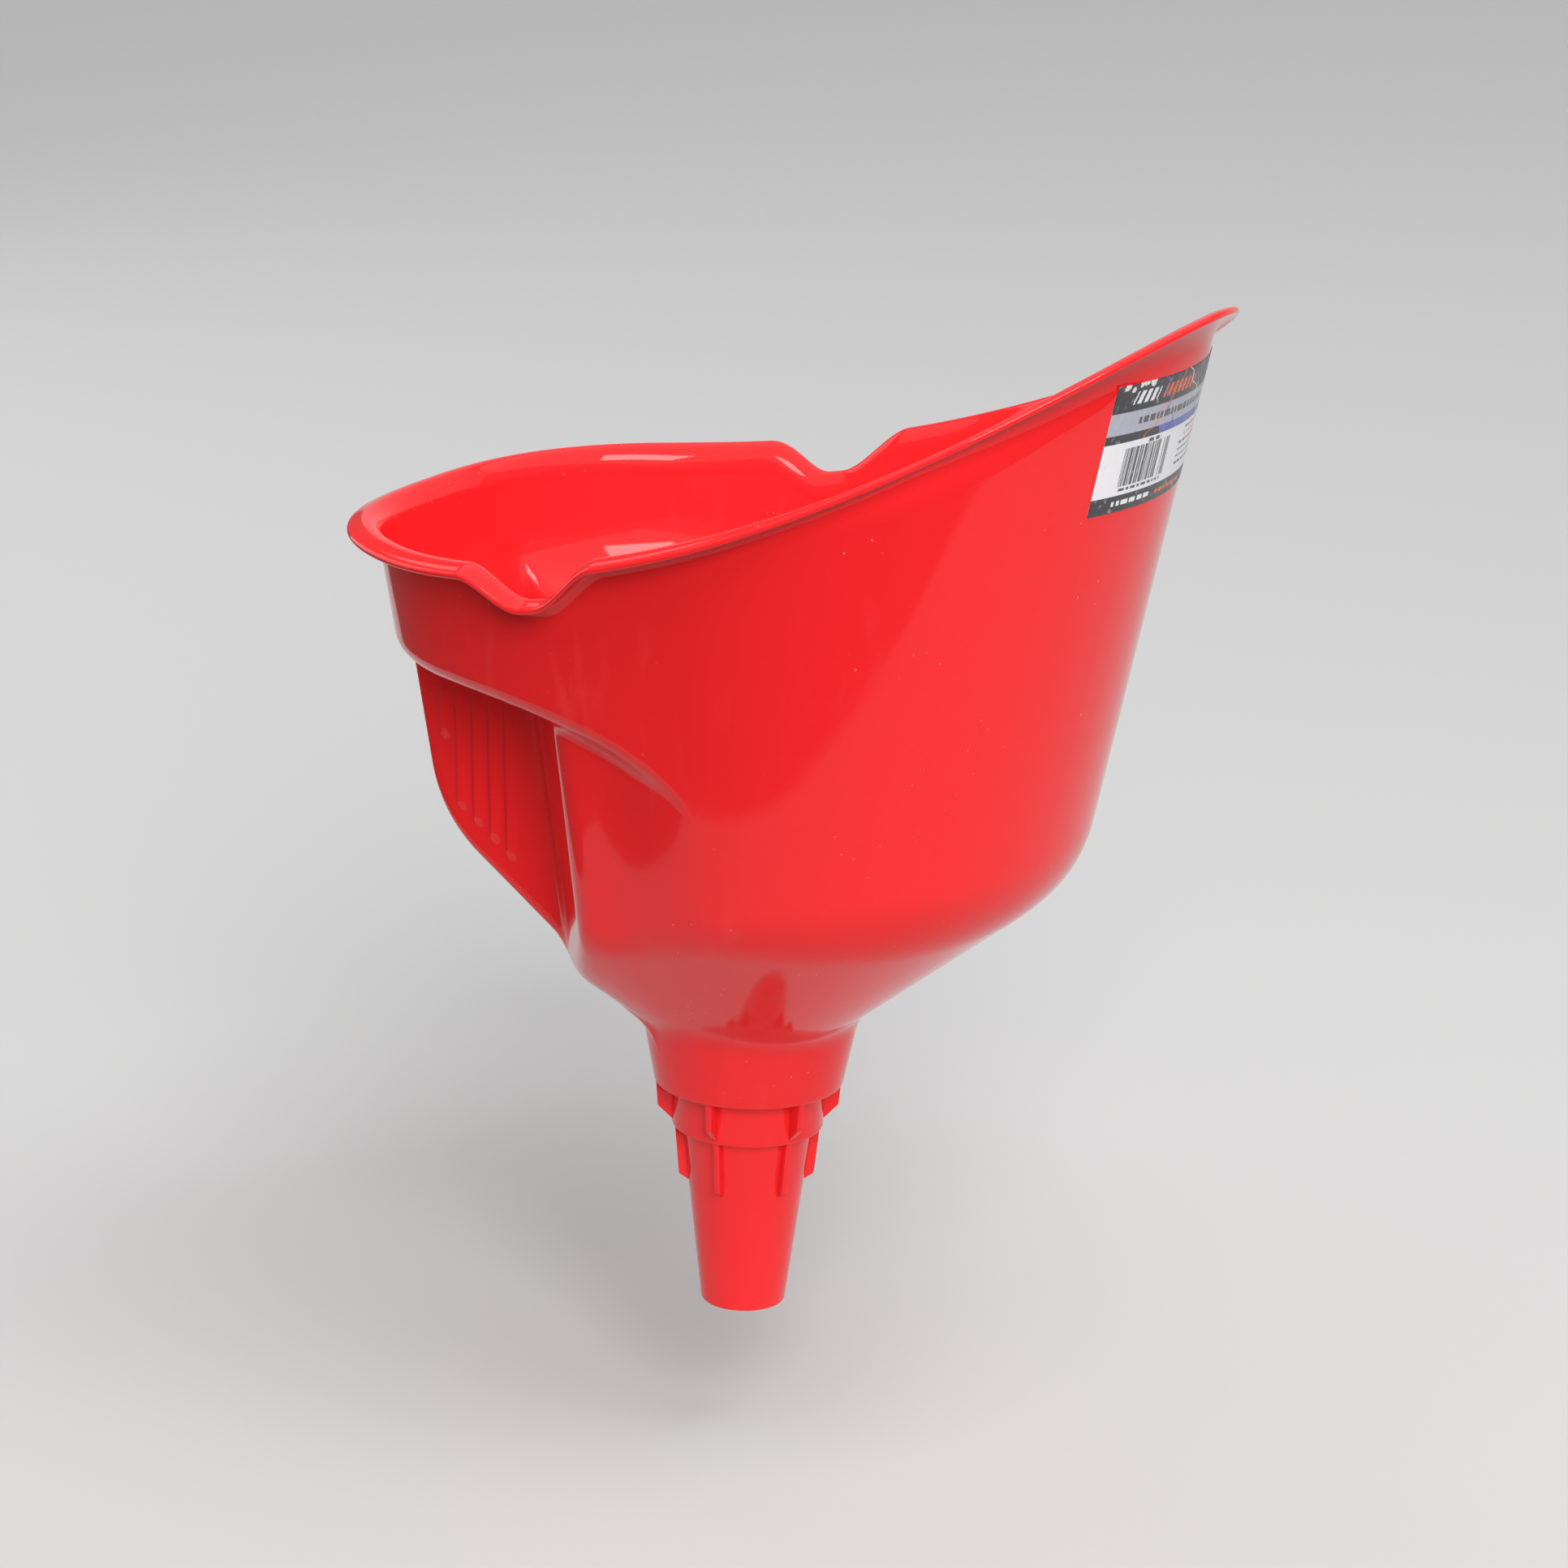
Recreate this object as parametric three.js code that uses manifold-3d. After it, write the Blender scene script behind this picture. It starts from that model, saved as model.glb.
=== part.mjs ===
// A hand-held quick-fill funnel: one thin-walled moulding with an oval mouth and a high back,
// a hollow hand grip under the front rim, a stepped neck with stop ribs, and a printed label.
// Millimetres, +Z up along the spout. The origin is on the spout's axis, on the flat underside
// of the neck that rests on a filler hole. +X points to the high back, and y = 0 is the
// plane of symmetry.
import * as THREE from "three";
import { mergeVertices } from "three/addons/utils/BufferGeometryUtils.js";
import Module from "manifold-3d";

const wasm = await Module();
wasm.setup();

// The moulding
const WALL = 2.0;

// Spout, collar and neck, from the tip upwards
const TIP_Z = -69.9;
const TIP_R = 12.6;
const TIP_ROUND = 0.6;
const COLLAR_Z = -14.0;
const COLLAR_R = 22.6;
const SPOUT_TOP_R = 19.5;
const NECK_R = 28.1;
const NECK_TAPER = 0.2;
const NECK_TOP_Z = 8.0;

// Stop ribs: one set under the neck, one set under the collar
const RIB_COUNT = 6;
const RIB_T = 1.8;
const RIB_ROOT = 1.0;
const UPPER_RIB = { outer: 27.8, foot: 27.0, footZ: -8.4, endZ: -12.8 };
const LOWER_RIB = { outer: 21.9, foot: 20.2, footZ: -30.2, endZ: -32.2 };

// Mouth: the lip's outer edge in plan is two half superellipses, joined where it is widest
const MOUTH_X = 19.2;
const MOUTH_FRONT = 133.8;
const MOUTH_BACK = 116.2;
const MOUTH_HALF = 108.5;
const MOUTH_POWERS = { front: 2.59, back: 1.8 };

// The mouth is level in front and sweeps up in a parabola towards the back
const RIM_Z = 167.0;
const RIM_SWEEP_X = -75.0;
const RIM_SWEEP = 0.001735;

// Lip: a flange round the mouth that curls down a little at its edge. Its width runs from the
// outer edge to the inner fold
const LIP_W = 9.5;
const LIP_DROP = 2.8;
const LIP_FILLET = 7.0;

// Pouring notches in the lip, one on each side
const NOTCH_X = -21.8;
const NOTCH_HALF = 22.0;
const NOTCH_SIDE = 20.0;
const NOTCH_DEPTH = 10.2;
const NOTCH_INSET = 4.0;

// Side walls in plan at the front rim's height, with their draft per mm of height
const WALL_Z = 167.0;
const WALL_FRONT = { reach: 127.2, draft: 0.155 };
const WALL_SIDE = { reach: 97.6, draft: 0.19 };
const WALL_BACK = { reach: 96.0, draft: 0.19 };
const WALL_POWERS = { front: 2.59, back: 2.05 };
const BACK_PANEL = { radius: 96.0, x: 114.5, draft: 0.196, blend: 2.5 };

// Shoulder: the step under the front of the bowl, which runs down the sides and dies out
const SHOULDER = { z: 131.0, x: -62.0, drop: 36.0, length: 84.0, round: 5.0 };
const LEDGE_ROUND = 16.0;
const SOFFIT_SLOPE = 0.27;
const SIDE_INSET = { depth: 6.0, fromX: -12.0, toX: 24.0 };
const SEAM = { round: 4.0, fadeFromZ: 137.0, fadeToZ: 149.0 };

// Finger faces: the slanted walls of the body beside the grip, a line in plan with a draft
const FINGER = { nx: -0.815, ny: 0.579, offset: 64.8, z: 112.0, draft: 0.146, round: 4.0 };

// Grip: a narrow hollow nose under the front rim, cut off below by a slope
const GRIP = { half: 33.0, halfZ: 124.0, halfDraft: 0.06, front: 96.8, frontZ: 118.0,
  frontDraft: 0.16, sideRound: 4.5, frontRound: 11.0, rootX: -20.0, blend: 3.0 };
const GRIP_SLOPE = { x: -53.2, z: 45.2, rise: 0.808 };

// Grip ridges: five low upright ridges on each side of the grip
const RIDGE = { count: 5, firstX: -86.8, pitch: 5.4, width: 2.4, height: 0.8,
  topZ: 117.0, foot: 10.5, firstFoot: 27.0 };

// Floor: it slopes up from the neck, and its plan is a rounded square, for flat sides
const FLOOR = { r: 32.0, z: 22.0, power: 2.4, side: 0.95, front: 0.62, back: 0.8,
  round: 4.0, backRound: 10.0 };
// Under the grip a steeper slope joins the neck to the grip's own
const CHIN_SLOPE = { x: -32.0, z: 22.0, rise: 1.025 };
const CHIN_ROUND = 2.0;
const NECK_BLEND = 3.0;

// Label: a printed film round the upper part of the back panel, as a stand-in plate
const LABEL = { bottomZ: 190.5, topZ: 227.0, half: 36.0, gap: 0.3, t: 0.3, columns: 12, rows: 2 };

// Mesh density: the columns are spaced by sectors of the half turn, in degrees from the back
const SECTORS = [[0, 88, 11], [88, 116, 7], [116, 148, 5], [148, 166, 7], [166, 180, 2]];
const FLOOR_TOP_Z = 66.0;
const SHOULDER_BELOW = 18.0;
const SHOULDER_ABOVE = 14.0;
const LEVEL_STEPS = { floor: 8, finger: 3, shoulder: 7, bowl: 3 };

const RED = 0xf22226;
const LABEL_WHITE = 0xe6e4e4;

function smoothMin(a, b, k) {
  const h = Math.max(k - Math.abs(a - b), 0) / k;
  return Math.min(a, b) - (h * h * k) / 4;
}

function smoothMax(a, b, k) {
  return -smoothMin(-a, -b, k);
}

function smoothStep(t) {
  const u = Math.min(Math.max(t, 0), 1);
  return u * u * (3 - 2 * u);
}

// The shape functions below are distances in mm: below zero inside, above zero outside.

function oval(x, y, front, back, half, powers) {
  const dx = x - MOUTH_X;
  const reach = dx < 0 ? front : back;
  const power = dx < 0 ? powers.front : powers.back;
  const g = (Math.abs(dx) / reach) ** power + (Math.abs(y) / half) ** power;
  const gauge = Math.max(g ** (1 / power), 1e-6);
  return ((gauge - 1) * Math.hypot(dx, y)) / gauge;
}

function sideWall(x, y, z) {
  const drop = WALL_Z - z;
  const front = WALL_FRONT.reach - WALL_FRONT.draft * drop;
  const back = WALL_BACK.reach - WALL_BACK.draft * drop;
  const half = WALL_SIDE.reach - WALL_SIDE.draft * drop;
  const round = oval(x, y, front, back, half, WALL_POWERS);
  const bulge = y / BACK_PANEL.radius;
  const panelX = BACK_PANEL.x - BACK_PANEL.draft * drop - (y * bulge) / 2;
  const panel = (x - panelX) / Math.hypot(1, bulge);
  return smoothMax(round, panel, BACK_PANEL.blend);
}

function floorSlope(x, y, z) {
  const r = Math.hypot(x, y);
  const c = x / Math.max(r, 1e-6);
  const end = c > 0 ? FLOOR.back : FLOOR.front;
  const slope = FLOOR.side + (end - FLOOR.side) * c * c;
  const gauge = (Math.abs(x) ** FLOOR.power + Math.abs(y) ** FLOOR.power) ** (1 / FLOOR.power);
  return ((gauge - FLOOR.r) * slope - (z - FLOOR.z)) / Math.hypot(1, slope);
}

// The rounding where the floor meets the walls is larger at the back
function floorRound(x, y) {
  const back = smoothStep(x / Math.max(Math.hypot(x, y), 1e-6));
  return FLOOR.round + (FLOOR.backRound - FLOOR.round) * back;
}

function sideInset(x) {
  const t = (x - SIDE_INSET.fromX) / (SIDE_INSET.toX - SIDE_INSET.fromX);
  return SIDE_INSET.depth * (1 - smoothStep(t));
}

// The seam between the bowl and the body below it loses its rounding above the shoulder
function seamRound(x, z) {
  const fade = 1 - smoothStep((z - SEAM.fadeFromZ) / (SEAM.fadeToZ - SEAM.fadeFromZ));
  return Math.min(Math.max(sideInset(x) * fade, 0.05), SEAM.round);
}

function frontSlope(x, z, plane) {
  const rise = (plane.x - x) * plane.rise;
  return (rise - (z - plane.z)) / Math.hypot(1, plane.rise);
}

function lowerBody(x, y, z, wall) {
  const face = FINGER.nx * x + FINGER.ny * Math.abs(y);
  const finger = face - (FINGER.offset - FINGER.draft * (FINGER.z - z));
  const walls = smoothMax(wall + sideInset(x), finger, FINGER.round);
  const floor = smoothMax(floorSlope(x, y, z), frontSlope(x, z, CHIN_SLOPE), CHIN_ROUND);
  return smoothMax(walls, floor, floorRound(x, y));
}

function gripHalf(z) {
  return GRIP.half - GRIP.halfDraft * (GRIP.halfZ - z);
}

function grip(x, y, z) {
  const sides = Math.abs(y) - gripHalf(z);
  const front = -x - (GRIP.front - GRIP.frontDraft * (GRIP.frontZ - z));
  const under = frontSlope(x, z, GRIP_SLOPE);
  const nose = smoothMax(smoothMax(front, under, GRIP.frontRound), sides, GRIP.sideRound);
  return Math.max(nose, x - GRIP.rootX);
}

function shoulderZ(x) {
  const u = Math.min(Math.max((x - SHOULDER.x) / SHOULDER.length, 0), 0.999);
  return SHOULDER.z - SHOULDER.drop * (1 - Math.sqrt(1 - u * u));
}

function upperBowl(x, z, wall, roundBy) {
  const soffit = shoulderZ(x) - SOFFIT_SLOPE * Math.max(-wall, 0);
  const under = (soffit - z) / Math.hypot(1, SOFFIT_SLOPE);
  return smoothMax(wall, under, roundBy);
}

function outerShape(x, y, z, roundBy = SHOULDER.round) {
  const wall = sideWall(x, y, z);
  const low = smoothMin(lowerBody(x, y, z, wall), grip(x, y, z), GRIP.blend);
  const bowl = smoothMin(low, upperBowl(x, z, wall, roundBy), seamRound(x, z));
  const neck = Math.hypot(x, y) - (NECK_R + NECK_TAPER * z);
  return smoothMin(bowl, neck, NECK_BLEND);
}

// The inside of the wall, where the ledge over the shoulder has a larger rounding
function innerShape(x, y, z) {
  return outerShape(x, y, z, LEDGE_ROUND) + WALL;
}

// The radius from the spout's axis at which a shape function reaches zero
function reachAt(angle, z, shape) {
  let near = 10;
  let far = 170;
  for (let i = 0; i < 30; i += 1) {
    const mid = (near + far) / 2;
    if (shape(mid * Math.cos(angle), mid * Math.sin(angle), z) < 0) near = mid;
    else far = mid;
  }
  return (near + far) / 2;
}

function lipEdge(x, y) {
  return oval(x, y, MOUTH_FRONT, MOUTH_BACK, MOUTH_HALF, MOUTH_POWERS);
}

function notchAt(x) {
  return smoothStep((NOTCH_HALF - Math.abs(x - NOTCH_X)) / NOTCH_SIDE);
}

function rimZ(x) {
  return RIM_Z + RIM_SWEEP * Math.max(x - RIM_SWEEP_X, 0) ** 2 - NOTCH_DEPTH * notchAt(x);
}

// The lip's section at one angle: radius and height pairs, from the outer wall round to the inner
function lipSection(angle) {
  const c = Math.cos(angle);
  const edge = reachAt(angle, 0, lipEdge);
  const tuck = NOTCH_INSET * notchAt(edge * c);
  const out = edge - tuck;
  const topOf = (r) => {
    const u = Math.min(Math.max((r - (out - LIP_W)) / LIP_W, 0), 1);
    return rimZ(r * c) + LIP_DROP * (1 - u * u);
  };
  const wallTop = topOf(out - LIP_W) - WALL - LIP_FILLET;
  const wallR = reachAt(angle, wallTop, outerShape);
  const innerR = reachAt(angle, wallTop, innerShape);
  const fillet = Math.min(LIP_FILLET, (out - wallR) * 0.6);
  const points = [];
  const steps = [0, 0.5, 1];
  for (const t of steps) {
    const a = (t * Math.PI) / 2;
    const r = wallR + fillet * (1 - Math.cos(a));
    points.push([r, wallTop + (topOf(r) - WALL - wallTop) * Math.sin(a)]);
  }
  points.push([out - 0.5, topOf(out) - WALL], [out, topOf(out) - WALL / 2], [out - 0.5, topOf(out)]);
  for (const t of [...steps].reverse()) {
    const a = (t * Math.PI) / 2;
    const r = innerR + (fillet + WALL) * (1 - Math.cos(a));
    points.push([r, wallTop + (topOf(r) - wallTop) * Math.sin(a)]);
  }
  return { points, wallTop };
}

// Evenly spaced heights from one to the next, leaving the last one out
function spaced(from, to, steps) {
  return Array.from({ length: steps }, (_, i) => from + ((to - from) * i) / steps);
}

// One upright section of the moulding, as a closed loop of points at this angle
function bodySection(angle) {
  const lip = lipSection(angle);
  const shoulder = shoulderZ(reachAt(angle, SHOULDER.z, sideWall) * Math.cos(angle));
  const levels = [
    ...spaced(NECK_TOP_Z, FLOOR_TOP_Z, LEVEL_STEPS.floor),
    ...spaced(FLOOR_TOP_Z, shoulder - SHOULDER_BELOW, LEVEL_STEPS.finger),
    ...spaced(shoulder - SHOULDER_BELOW, shoulder + SHOULDER_ABOVE, LEVEL_STEPS.shoulder),
    ...spaced(shoulder + SHOULDER_ABOVE, lip.wallTop, LEVEL_STEPS.bowl),
  ];
  const outside = [
    [TIP_R - TIP_ROUND, TIP_Z], [TIP_R, TIP_Z + TIP_ROUND],
    [SPOUT_TOP_R, COLLAR_Z], [COLLAR_R, COLLAR_Z], [COLLAR_R, 0], [NECK_R, 0],
    ...levels.map((z) => [reachAt(angle, z, outerShape), z]),
  ];
  const inside = [
    ...levels.map((z) => [reachAt(angle, z, innerShape), z]).reverse(),
    [NECK_R - WALL, WALL], [COLLAR_R - WALL, WALL], [COLLAR_R - WALL, COLLAR_Z + WALL],
    [SPOUT_TOP_R - WALL, COLLAR_Z + WALL], [TIP_R - WALL, TIP_Z],
  ];
  const loop = [...outside, ...lip.points, ...inside];
  return loop.map(([r, z]) => [r * Math.cos(angle), r * Math.sin(angle), z]);
}

function columnAngles() {
  const half = [];
  for (const [from, to, steps] of SECTORS) {
    for (let i = 0; i < steps; i += 1) half.push(from + ((to - from) * i) / steps);
  }
  const mirrored = half.slice(1).map((a) => 360 - a).reverse();
  return [...half, 180, ...mirrored].map(THREE.MathUtils.degToRad);
}

// A closed surface through rows of points; both directions close on themselves
function ringSurface(rows) {
  const n = rows[0].length;
  const index = [];
  for (let i = 0; i < rows.length; i += 1) {
    const j = (i + 1) % rows.length;
    for (let k = 0; k < n; k += 1) {
      const m = (k + 1) % n;
      index.push(i * n + k, j * n + k, j * n + m);
      index.push(i * n + k, j * n + m, i * n + m);
    }
  }
  const geometry = new THREE.BufferGeometry();
  geometry.setAttribute("position", new THREE.Float32BufferAttribute(rows.flat(2), 3));
  geometry.setIndex(index);
  return geometry;
}

function toSolid(geometry) {
  const bare = geometry.clone();
  bare.deleteAttribute("normal");
  bare.deleteAttribute("uv");
  const merged = mergeVertices(bare, 1e-4);
  return new wasm.Manifold(new wasm.Mesh({
    numProp: 3,
    vertProperties: new Float32Array(merged.attributes.position.array),
    triVerts: new Uint32Array(merged.index.array),
  }));
}

function toGeometry(solid) {
  const mesh = solid.getMesh();
  const geometry = new THREE.BufferGeometry();
  geometry.setAttribute("position", new THREE.Float32BufferAttribute(mesh.vertProperties, 3));
  geometry.setIndex([...mesh.triVerts]);
  geometry.computeVertexNormals();
  return geometry;
}

// A flat plate whose outline is given in radius and height, standing upright on the axis
function uprightPlate(outline, thickness) {
  const shape = new THREE.Shape(outline.map(([r, z]) => new THREE.Vector2(r, z)));
  const plate = new THREE.ExtrudeGeometry(shape, { depth: thickness, bevelEnabled: false });
  plate.translate(0, 0, -thickness / 2);
  plate.rotateX(Math.PI / 2);
  return plate;
}

function spoutR(z) {
  return TIP_R + ((SPOUT_TOP_R - TIP_R) * (z - TIP_Z)) / (COLLAR_Z - TIP_Z);
}

function stopRibs() {
  const upperRoot = COLLAR_R - RIB_ROOT;
  const upper = uprightPlate([
    [upperRoot, RIB_ROOT], [UPPER_RIB.outer, RIB_ROOT], [UPPER_RIB.outer, 0],
    [UPPER_RIB.foot, UPPER_RIB.footZ], [COLLAR_R, UPPER_RIB.endZ], [upperRoot, UPPER_RIB.endZ],
  ], RIB_T);
  const lowerRoot = spoutR(LOWER_RIB.endZ) - RIB_ROOT;
  const lower = uprightPlate([
    [SPOUT_TOP_R - RIB_ROOT, COLLAR_Z + RIB_ROOT], [LOWER_RIB.outer, COLLAR_Z + RIB_ROOT],
    [LOWER_RIB.outer, COLLAR_Z], [LOWER_RIB.foot, LOWER_RIB.footZ],
    [spoutR(LOWER_RIB.endZ), LOWER_RIB.endZ], [lowerRoot, LOWER_RIB.endZ],
  ], RIB_T);
  const ribs = [];
  for (let i = 0; i < RIB_COUNT; i += 1) {
    const turn = ((i + 0.5) * 2 * Math.PI) / RIB_COUNT;
    ribs.push(upper.clone().rotateZ(turn), lower.clone().rotateZ(turn));
  }
  return ribs;
}

// The height at which the grip's side meets the slope below it, for a ridge to stop above
function gripFootZ(x) {
  return GRIP_SLOPE.z + (GRIP_SLOPE.x - x) * GRIP_SLOPE.rise;
}

function gripRidges() {
  const ridges = [];
  for (let i = 0; i < RIDGE.count; i += 1) {
    const x = RIDGE.firstX + i * RIDGE.pitch;
    const bottom = gripFootZ(x) + (i === 0 ? RIDGE.firstFoot : RIDGE.foot);
    const face = (z, out) => gripHalf(z) + out;
    const outline = [
      [face(bottom, -1), bottom], [face(bottom, RIDGE.height), bottom],
      [face(RIDGE.topZ, RIDGE.height), RIDGE.topZ], [face(RIDGE.topZ, -1), RIDGE.topZ],
    ];
    for (const side of [1, -1]) {
      const ridge = uprightPlate(outline, RIDGE.width).rotateZ((side * Math.PI) / 2);
      ridges.push(ridge.translate(x, 0, 0));
    }
  }
  return ridges;
}

function makeBody() {
  const shell = toSolid(ringSurface(columnAngles().map(bodySection)));
  const details = [...stopRibs(), ...gripRidges()].map(toSolid);
  return toGeometry(details.reduce((solid, detail) => solid.add(detail), shell));
}

// The label follows the back panel at a small gap
function makeLabel() {
  const panelPoint = (u, v, out) => {
    const z = LABEL.bottomZ + (LABEL.topZ - LABEL.bottomZ) * v;
    const y = LABEL.half * u;
    const bulge = y / BACK_PANEL.radius;
    const x = BACK_PANEL.x - BACK_PANEL.draft * (WALL_Z - z) - (y * bulge) / 2;
    const step = out / Math.hypot(1, bulge);
    return [x + step, y + step * bulge, z];
  };
  const sheet = new THREE.BoxGeometry(1, 1, 1, 1, LABEL.columns, LABEL.rows);
  const position = sheet.attributes.position;
  for (let i = 0; i < position.count; i += 1) {
    const out = LABEL.gap + LABEL.t * (position.getX(i) + 0.5);
    const point = panelPoint(position.getY(i) * 2, position.getZ(i) + 0.5, out);
    position.setXYZ(i, ...point);
  }
  sheet.computeVertexNormals();
  return sheet;
}

function namedMesh(name, geometry, color, roughness) {
  const material = new THREE.MeshStandardMaterial({ color, roughness, metalness: 0 });
  const mesh = new THREE.Mesh(geometry, material);
  mesh.name = name;
  return mesh;
}

const funnel = new THREE.Group();
funnel.add(namedMesh("funnel_body", makeBody(), RED, 0.25));
funnel.add(namedMesh("label", makeLabel(), LABEL_WHITE, 0.45));

export default funnel;
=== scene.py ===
"""A hand-held quick-fill funnel: one glossy red moulding with a printed film label.

Shapes are worked out in millimetres, in the part's own frame: +Z up along the spout, +X to the
high back, y = 0 the plane of symmetry. They become metres when a mesh is made.
"""

import math

import bmesh
import bpy
import numpy as np
from mathutils import Matrix, Vector


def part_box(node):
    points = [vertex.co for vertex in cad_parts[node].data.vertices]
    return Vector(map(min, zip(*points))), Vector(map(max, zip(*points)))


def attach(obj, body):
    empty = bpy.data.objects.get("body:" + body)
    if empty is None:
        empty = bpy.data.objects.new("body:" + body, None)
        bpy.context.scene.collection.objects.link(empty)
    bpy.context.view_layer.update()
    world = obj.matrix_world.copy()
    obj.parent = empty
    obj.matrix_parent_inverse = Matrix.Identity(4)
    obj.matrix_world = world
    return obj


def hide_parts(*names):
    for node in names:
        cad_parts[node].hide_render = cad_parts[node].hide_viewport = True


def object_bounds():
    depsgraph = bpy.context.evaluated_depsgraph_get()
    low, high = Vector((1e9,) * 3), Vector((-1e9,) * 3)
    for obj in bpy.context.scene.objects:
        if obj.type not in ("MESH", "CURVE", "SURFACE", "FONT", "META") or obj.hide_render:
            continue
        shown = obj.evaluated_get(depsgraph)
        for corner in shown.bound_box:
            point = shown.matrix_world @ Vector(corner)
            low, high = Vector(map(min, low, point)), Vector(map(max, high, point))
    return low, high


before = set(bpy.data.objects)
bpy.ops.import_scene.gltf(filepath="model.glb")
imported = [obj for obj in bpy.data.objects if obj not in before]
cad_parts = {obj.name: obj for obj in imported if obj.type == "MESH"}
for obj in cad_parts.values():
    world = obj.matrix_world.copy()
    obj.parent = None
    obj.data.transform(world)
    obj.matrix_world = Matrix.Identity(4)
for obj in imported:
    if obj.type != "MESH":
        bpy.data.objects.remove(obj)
cad_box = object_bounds()

MM = 0.001
BODY_LOW, BODY_HIGH = (np.array(corner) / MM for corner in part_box("funnel_body"))
LABEL_LOW, LABEL_HIGH = (np.array(corner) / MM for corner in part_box("label"))

# The moulding
WALL = 2.0

# Spout, collar and neck, from the tip upwards
TIP_Z = BODY_LOW[2]
TIP_R = 12.6
TIP_ROUND = 0.7
COLLAR_Z = -14.0
COLLAR_R = 22.6
SPOUT_TOP_R = 19.5
STEP_ROUND = 0.8
STEP_FILLET = 0.7
NECK_R = 28.1
NECK_TAPER = 0.2
NECK_TOP_Z = 3.0

# Stop ribs: one set under the neck, one set under the collar
RIB_COUNT = 6
RIB_T = 1.8
RIB_ROOT = 1.0
RIB_ROUND = 0.35
UPPER_RIB = {"outer": 27.8, "foot": 27.0, "foot_z": -8.4, "end_z": -12.8}
LOWER_RIB = {"outer": 21.9, "foot": 20.2, "foot_z": -30.2, "end_z": -32.2}

# Mouth: the lip's outer edge in plan is two half superellipses
MOUTH_X = 19.2
MOUTH_FRONT = MOUTH_X - BODY_LOW[0]
MOUTH_BACK = BODY_HIGH[0] - MOUTH_X
MOUTH_HALF = BODY_HIGH[1]
MOUTH_POWERS = (2.59, 1.8)

# The mouth is level in front and sweeps up in a parabola towards the back
RIM_Z = 167.0
RIM_SWEEP_X = -75.0
RIM_SWEEP = 0.001735

# Lip: a flange round the mouth that curls down a little at its edge
LIP_W = 9.5
LIP_DROP = 2.8
LIP_FILLET = 7.0

# Pouring notches in the lip, one on each side
NOTCH_X = -21.8
NOTCH_HALF = 22.0
NOTCH_SIDE = 20.0
NOTCH_DEPTH = 10.2
NOTCH_INSET = 4.0

# Side walls in plan at the front rim's height, with their draft per mm of height
WALL_Z = 167.0
WALL_FRONT = (127.2, 0.155)
WALL_SIDE = (97.6, 0.19)
WALL_BACK = (96.0, 0.19)
WALL_POWERS = (2.59, 2.05)
PANEL_RADIUS = 96.0
PANEL_X = 114.5
PANEL_DRAFT = 0.196
PANEL_BLEND = 2.5

# Shoulder: the step under the front of the bowl, which runs down the sides and dies out
SHOULDER_Z = 131.0
SHOULDER_X = -62.0
SHOULDER_DROP = 36.0
SHOULDER_LENGTH = 84.0
SHOULDER_ROUND = 5.0
LEDGE_ROUND = 16.0
SOFFIT_SLOPE = 0.27
INSET_DEPTH = 6.0
INSET_FROM_X = -12.0
INSET_TO_X = 24.0
SEAM_ROUND = 4.0
SEAM_FADE = (137.0, 149.0)

# Finger faces: the slanted walls of the body beside the grip
FINGER_NORMAL = (-0.815, 0.579)
FINGER_OFFSET = 64.8
FINGER_Z = 112.0
FINGER_DRAFT = 0.146
FINGER_ROUND = 4.0

# Grip: a narrow hollow nose under the front rim, cut off below by a slope
GRIP_HALF = 33.0
GRIP_HALF_Z = 124.0
GRIP_HALF_DRAFT = 0.06
GRIP_FRONT = 96.8
GRIP_FRONT_Z = 118.0
GRIP_FRONT_DRAFT = 0.16
GRIP_SIDE_ROUND = 4.5
GRIP_FRONT_ROUND = 11.0
GRIP_ROOT_X = -20.0
GRIP_BLEND = 3.0
GRIP_SLOPE = {"x": -53.2, "z": 45.2, "rise": 0.808}

# Grip ridges: five low upright ridges on each side of the grip
RIDGE_COUNT = 5
RIDGE_FIRST_X = -86.8
RIDGE_PITCH = 5.4
RIDGE_WIDTH = 2.4
RIDGE_HEIGHT = 0.8
RIDGE_EDGE = 1.6
RIDGE_END = 3.0
RIDGE_TOP_Z = 117.0
RIDGE_FOOT = 10.5
RIDGE_FIRST_FOOT = 27.0

# Floor of the bowl: it slopes up from the neck, and its plan is a rounded square, for flat sides
FLOOR_R = 32.0
FLOOR_Z = 22.0
FLOOR_POWER = 2.4
FLOOR_SLOPES = {"side": 0.95, "front": 0.62, "back": 0.8}
# Under the grip a steeper slope joins the neck to the grip's own
CHIN_SLOPE = {"x": -32.0, "z": 22.0, "rise": 1.025}
CHIN_ROUND = 2.0
FLOOR_ROUND = 4.0
FLOOR_BACK_ROUND = 10.0
NECK_BLEND = 3.0

# Mesh density: columns by sectors of the half turn, in degrees from the back, and levels
SECTORS = ((0, 88, 120), (88, 116, 56), (116, 146, 70), (146, 167, 300), (167, 180, 30))
SHOULDER_BELOW = 18.0
SHOULDER_ABOVE = 16.0
OUTSIDE_STEPS = (84, 44, 24)
INSIDE_STEPS = (56, 30, 16)
ARC_STEPS = 6

# Colours of the plastic
RED = (0.88, 0.018, 0.021)
RED_DEEP = (0.83, 0.015, 0.018)
RED_WORN = (0.90, 0.16, 0.15)
RED_DUST = (0.90, 0.42, 0.38)
GLOSS = 0.05
SHEEN = 0.32

# Label: its print is laid out on a grid of small cells
LABEL_GAP = 0.05
LABEL_T = 0.1
LABEL_LIFT = 0.5
LABEL_CELL = 0.27


def smooth_min(a, b, k):
    h = np.maximum(k - np.abs(a - b), 0) / k
    return np.minimum(a, b) - h * h * k / 4


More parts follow.
